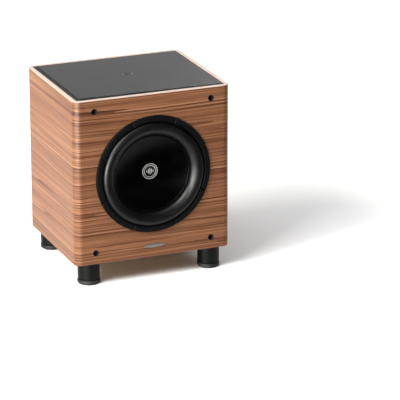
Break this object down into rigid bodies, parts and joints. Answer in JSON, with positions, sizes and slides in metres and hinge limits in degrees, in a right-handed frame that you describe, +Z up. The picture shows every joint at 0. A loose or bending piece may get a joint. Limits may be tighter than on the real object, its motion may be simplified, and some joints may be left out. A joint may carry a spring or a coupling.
{
  "type": "subwoofer",
  "caption": "Front-firing powered subwoofer: walnut-veneered box on round black feet, leather-covered top, large black driver with a rubber surround, amplifier panel with controls at the back.",
  "frame": {"origin": "on the floor, under the middle of the whole object's box", "axes": "+Z up, the driver faces -Y, +X is to the right of someone looking at the front"},
  "size_m": [0.36, 0.3374, 0.423],
  "materials": {
    "walnut_veneer": "satin walnut veneer, grain running level round the box",
    "pale_wood": "satin pale wood",
    "fibreboard": "raw medium-density fibreboard",
    "cover_leather": "black grained leather-like covering",
    "plate_silver": "brushed, clear lacquered",
    "black_rubber": "matt black rubber",
    "wadding": "loose polyester wadding",
    "slate_trim": "satin black with a cool tint",
    "black_steel": "black stove enamel",
    "cone_black": "smooth black moulded cone",
    "foam": "closed-cell foam strip",
    "coil_film": "amber polyimide film",
    "copper": "enamelled copper wire",
    "spider_cloth": "resin-treated woven cloth",
    "bright_steel": "zinc-plated steel",
    "transformer_wrap": "windings on a steel core, wrapped in film",
    "ferrite": "dark grey ferrite",
    "black_plastic": "fine-textured black plastic",
    "black_aluminium": "black anodised",
    "board_green": "solder-masked circuit board",
    "capacitor_sleeve": "aluminium can in a blue plastic sleeve",
    "light_lens": "clear blue lens",
    "foot_black": "satin black turned column"
  },
  "bodies": {
    "cabinet": {"amp_board": "board_green", "amp_box": "bright_steel", "amp_gasket": "foam", "amp_panel": "black_aluminium", "auto_on_switch_body": "black_plastic", "back_board": "fibreboard", "badge_plate": "plate_silver", "bottom_board": "fibreboard", "capacitor_1": "capacitor_sleeve", "capacitor_2": "capacitor_sleeve", "crossover_pot": "bright_steel", "driver_basket": "black_steel", "driver_gasket": "foam", "driver_terminals": "black_plastic", "foot_column_front_left": "foot_black", "foot_column_front_right": "foot_black", "foot_column_rear_left": "foot_black", "foot_column_rear_right": "foot_black", "foot_pad_front_left": "black_rubber", "foot_pad_front_right": "black_rubber", "foot_pad_rear_left": "black_rubber", "foot_pad_rear_right": "black_rubber", "front_baffle": "fibreboard", "grille_socket_lower_left": "black_rubber", "grille_socket_lower_right": "black_rubber", "grille_socket_upper_left": "black_rubber", "grille_socket_upper_right": "black_rubber", "heat_sink": "black_aluminium", "left_side_board": "fibreboard", "level_pot": "bright_steel", "line_input_left": "bright_steel", "line_input_right": "bright_steel", "magnet": "ferrite", "mains_inlet": "black_plastic", "mains_transformer": "transformer_wrap", "phase_switch_body": "black_plastic", "pole_yoke": "bright_steel", "power_light": "light_lens", "power_switch_body": "black_plastic", "right_side_board": "fibreboard", "speaker_lead": "black_rubber", "spider": "spider_cloth", "surround": "black_rubber", "top_board": "fibreboard", "top_cover": "cover_leather", "top_lipping": "pale_wood", "top_plate": "bright_steel", "trim_ring": "slate_trim", "veneer_wrap": "walnut_veneer", "wadding": "wadding"},
    "cone_assembly": {"cone": "cone_black", "emblem": "plate_silver", "voice_coil_former": "coil_film", "voice_coil": "copper"},
    "level_control": {"level_knob": "black_plastic"},
    "crossover_control": {"crossover_knob": "black_plastic"},
    "phase_control": {"phase_slider": "black_plastic"},
    "auto_on_control": {"auto_on_slider": "black_plastic"},
    "power_control": {"power_rocker": "black_plastic"},
    "fuse_tray": {"fuse_drawer": "black_plastic"}
  },
  "joints": [
    {"name": "cone_travel", "type": "slide", "parent": "cabinet", "child": "cone_assembly", "axis": [0, -1, 0], "range_m": [-0.012, 0.012], "stiffness_N_per_m": 2500, "deforming": ["surround", "spider"]},
    {"name": "level_turn", "type": "hinge", "parent": "cabinet", "child": "level_control", "pos_m": [0.066, 0.1574, 0.2137], "axis": [0, 1, 0], "range_deg": [-150, 150]},
    {"name": "crossover_turn", "type": "hinge", "parent": "cabinet", "child": "crossover_control", "pos_m": [0.026, 0.1574, 0.2137], "axis": [0, 1, 0], "range_deg": [-150, 150]},
    {"name": "phase_slide", "type": "slide", "parent": "cabinet", "child": "phase_control", "axis": [1, 0, 0], "range_m": [0, 0.006]},
    {"name": "auto_on_slide", "type": "slide", "parent": "cabinet", "child": "auto_on_control", "axis": [1, 0, 0], "range_m": [0, 0.006]},
    {"name": "power_rock", "type": "hinge", "parent": "cabinet", "child": "power_control", "pos_m": [-0.022, 0.1454, 0.1437], "axis": [1, 0, 0], "range_deg": [-16, 0]},
    {"name": "fuse_slide", "type": "slide", "parent": "cabinet", "child": "fuse_tray", "axis": [0, 1, 0], "range_m": [0, 0.012]}
  ]
}
